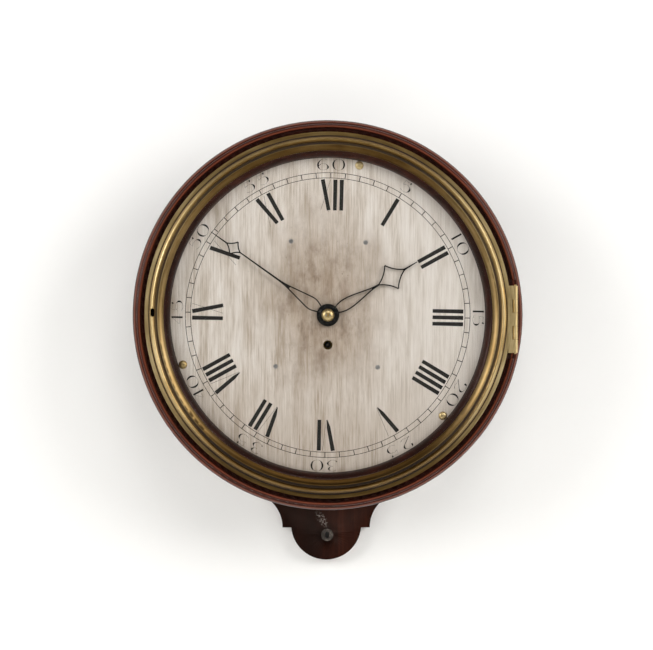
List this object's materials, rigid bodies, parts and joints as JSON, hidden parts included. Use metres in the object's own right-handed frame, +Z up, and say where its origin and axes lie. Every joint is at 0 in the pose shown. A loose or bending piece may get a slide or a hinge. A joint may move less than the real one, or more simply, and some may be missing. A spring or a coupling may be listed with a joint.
{
  "type": "wall dial clock",
  "caption": "Round wooden wall clock with a silvered dial, open black hands, a hinged brass bezel with glass, a spring-driven pendulum movement and a box case with two doors.",
  "frame": {"origin": "where the axis of the hands meets the wall", "axes": "+Z up, the dial faces -Y, +X to the right of someone facing the dial; the wall is the plane y = 0"},
  "size_m": [0.3818, 0.13, 0.4376],
  "materials": {
    "surround_mahogany": "old french polish",
    "case_mahogany": "old polish",
    "plain_wood": "unpolished",
    "old_iron": "rusted black",
    "case_brass": "dull",
    "bezel_brass": "worn polish",
    "window_glass": "clear",
    "silvered_brass": "silvered, stained",
    "hand_steel": "blued black",
    "steel": "dull",
    "movement_brass": "brushed",
    "bob_brass": "worn polish",
    "gut": "smooth"
  },
  "bodies": {
    "case": {"back_board": "case_mahogany", "iron_fixing_plates": "old_iron", "box_left_side": "case_mahogany", "box_right_side": "case_mahogany", "box_top": "case_mahogany", "box_bottom": "case_mahogany", "door_hinge_plates": "case_brass", "surround_ears": "plain_wood", "fixing_pegs": "plain_wood", "dial_surround": "surround_mahogany", "dial_plate": "silvered_brass", "dial_screws": "bezel_brass", "dial_feet": "steel", "case_hinge_leaf": "bezel_brass", "case_screws": "old_iron", "front_plate": "movement_brass", "back_plate": "movement_brass", "pillars": "movement_brass", "movement_fixings": "steel", "barrel_arbor": "steel", "back_cock": "movement_brass", "motion_bridge": "movement_brass", "gut_line": "gut"},
    "bezel": {"bezel": "bezel_brass", "glass": "window_glass", "glass_retaining_ring": "bezel_brass", "bezel_hinge_leaf": "bezel_brass", "bezel_hinge_pin": "bezel_brass", "lock_case": "case_brass"},
    "lock_bolt": {"lock_bolt": "steel"},
    "side_door": {"side_door": "case_mahogany", "side_door_hinges": "case_brass"},
    "bottom_door": {"bottom_door": "case_mahogany", "bottom_door_hinges": "case_brass"},
    "side_button": {"side_door_button": "case_mahogany"},
    "bottom_button": {"bottom_door_button": "case_mahogany"},
    "centre": {"centre_wheel": "movement_brass", "cannon_wheel": "movement_brass", "minute_hand": "hand_steel", "hand_collet": "bezel_brass", "hand_pin": "steel"},
    "hour": {"hour_wheel": "movement_brass", "hour_hand": "hand_steel"},
    "minute_wheel": {"minute_wheel": "movement_brass"},
    "fusee": {"fusee": "movement_brass", "great_wheel": "movement_brass", "gut_on_fusee": "gut"},
    "barrel": {"barrel": "movement_brass", "barrel_cap": "movement_brass", "mainspring": "steel"},
    "third_wheel": {"third_wheel": "movement_brass"},
    "escape_wheel": {"escape_wheel": "movement_brass"},
    "pendulum": {"suspension_spring": "steel", "pendulum_rod": "steel", "bob": "bob_brass"},
    "rating_nut": {"rating_nut": "case_brass"},
    "pallets": {"pallets": "steel", "crutch": "steel"},
    "setup_click": {"setup_click": "steel"},
    "fusee_stop": {"fusee_stop": "steel"}
  },
  "joints": [
    {"name": "bezel_hinge", "type": "hinge", "parent": "case", "child": "bezel", "pos_m": [0.1826, -0.119, -0.0041], "axis": [0, 0, 1], "range_deg": [0, 140]},
    {"name": "bezel_bolt_slide", "type": "slide", "parent": "bezel", "child": "lock_bolt", "axis": [-1, 0, 0], "range_m": [0, 0.0035]},
    {"name": "side_door_hinge", "type": "hinge", "parent": "case", "child": "side_door", "pos_m": [0.0749, -0.024, 0], "axis": [0, 0, 1], "range_deg": [0, 110]},
    {"name": "bottom_door_hinge", "type": "hinge", "parent": "case", "child": "bottom_door", "pos_m": [0, -0.024, -0.1739], "axis": [1, 0, 0], "range_deg": [0, 100]},
    {"name": "side_button_turn", "type": "hinge", "parent": "case", "child": "side_button", "pos_m": [0.075, -0.083, 0], "axis": [1, 0, 0], "range_deg": [0, 90]},
    {"name": "bottom_button_turn", "type": "hinge", "parent": "case", "child": "bottom_button", "pos_m": [0, -0.083, -0.174], "axis": [0, 0, 1], "range_deg": [0, 90]},
    {"name": "minute_hand_turn", "type": "hinge", "parent": "case", "child": "centre", "pos_m": [0, -0.1, 0], "axis": [0, 1, 0], "continuous": true},
    {"name": "hour_hand_turn", "type": "hinge", "parent": "case", "child": "hour", "pos_m": [0, -0.098, 0], "axis": [0, 1, 0], "continuous": true},
    {"name": "minute_wheel_turn", "type": "hinge", "parent": "case", "child": "minute_wheel", "pos_m": [0, -0.091, 0.0216], "axis": [0, 1, 0], "continuous": true},
    {"name": "fusee_turn", "type": "hinge", "parent": "case", "child": "fusee", "pos_m": [0, -0.06, -0.0292], "axis": [0, 1, 0], "continuous": true},
    {"name": "barrel_turn", "type": "hinge", "parent": "case", "child": "barrel", "pos_m": [-0.03399, -0.06, -0.053], "axis": [0, 1, 0], "continuous": true},
    {"name": "third_wheel_turn", "type": "hinge", "parent": "case", "child": "third_wheel", "pos_m": [0.01, -0.062, 0.02294], "axis": [0, 1, 0], "continuous": true},
    {"name": "escape_wheel_turn", "type": "hinge", "parent": "case", "child": "escape_wheel", "pos_m": [0, -0.05, 0.04226], "axis": [0, 1, 0], "continuous": true},
    {"name": "pendulum_swing", "type": "hinge", "parent": "case", "child": "pendulum", "pos_m": [0, -0.024, 0.06356], "axis": [0, 1, 0], "range_deg": [-3, 3]},
    {"name": "pallets_rock", "type": "hinge", "parent": "case", "child": "pallets", "pos_m": [0, -0.05, 0.06356], "axis": [0, 1, 0], "range_deg": [-3, 3]},
    {"name": "rating_nut_turn", "type": "hinge", "parent": "pendulum", "child": "rating_nut", "pos_m": [0, -0.024, -0.152], "axis": [0, 0, 1], "continuous": true},
    {"name": "setup_click_turn", "type": "hinge", "parent": "case", "child": "setup_click", "pos_m": [-0.02084, -0.0903, -0.04822], "axis": [0, 1, 0], "range_deg": [0, 20]},
    {"name": "fusee_stop_swing", "type": "hinge", "parent": "case", "child": "fusee_stop", "pos_m": [0.034, -0.0844, -0.0422], "axis": [0, 0, -1], "range_deg": [0, 3]}
  ],
  "couplings": [
    {"joint": "hour_hand_turn", "follows": "minute_hand_turn", "ratio": 0.083333},
    {"joint": "minute_wheel_turn", "follows": "minute_hand_turn", "ratio": -0.5},
    {"joint": "fusee_turn", "follows": "minute_hand_turn", "ratio": -0.083333},
    {"joint": "barrel_turn", "follows": "minute_hand_turn", "ratio": -0.041667},
    {"joint": "third_wheel_turn", "follows": "minute_hand_turn", "ratio": -12},
    {"joint": "escape_wheel_turn", "follows": "minute_hand_turn", "ratio": 137.14},
    {"joint": "pallets_rock", "follows": "pendulum_swing", "ratio": 1}
  ]
}
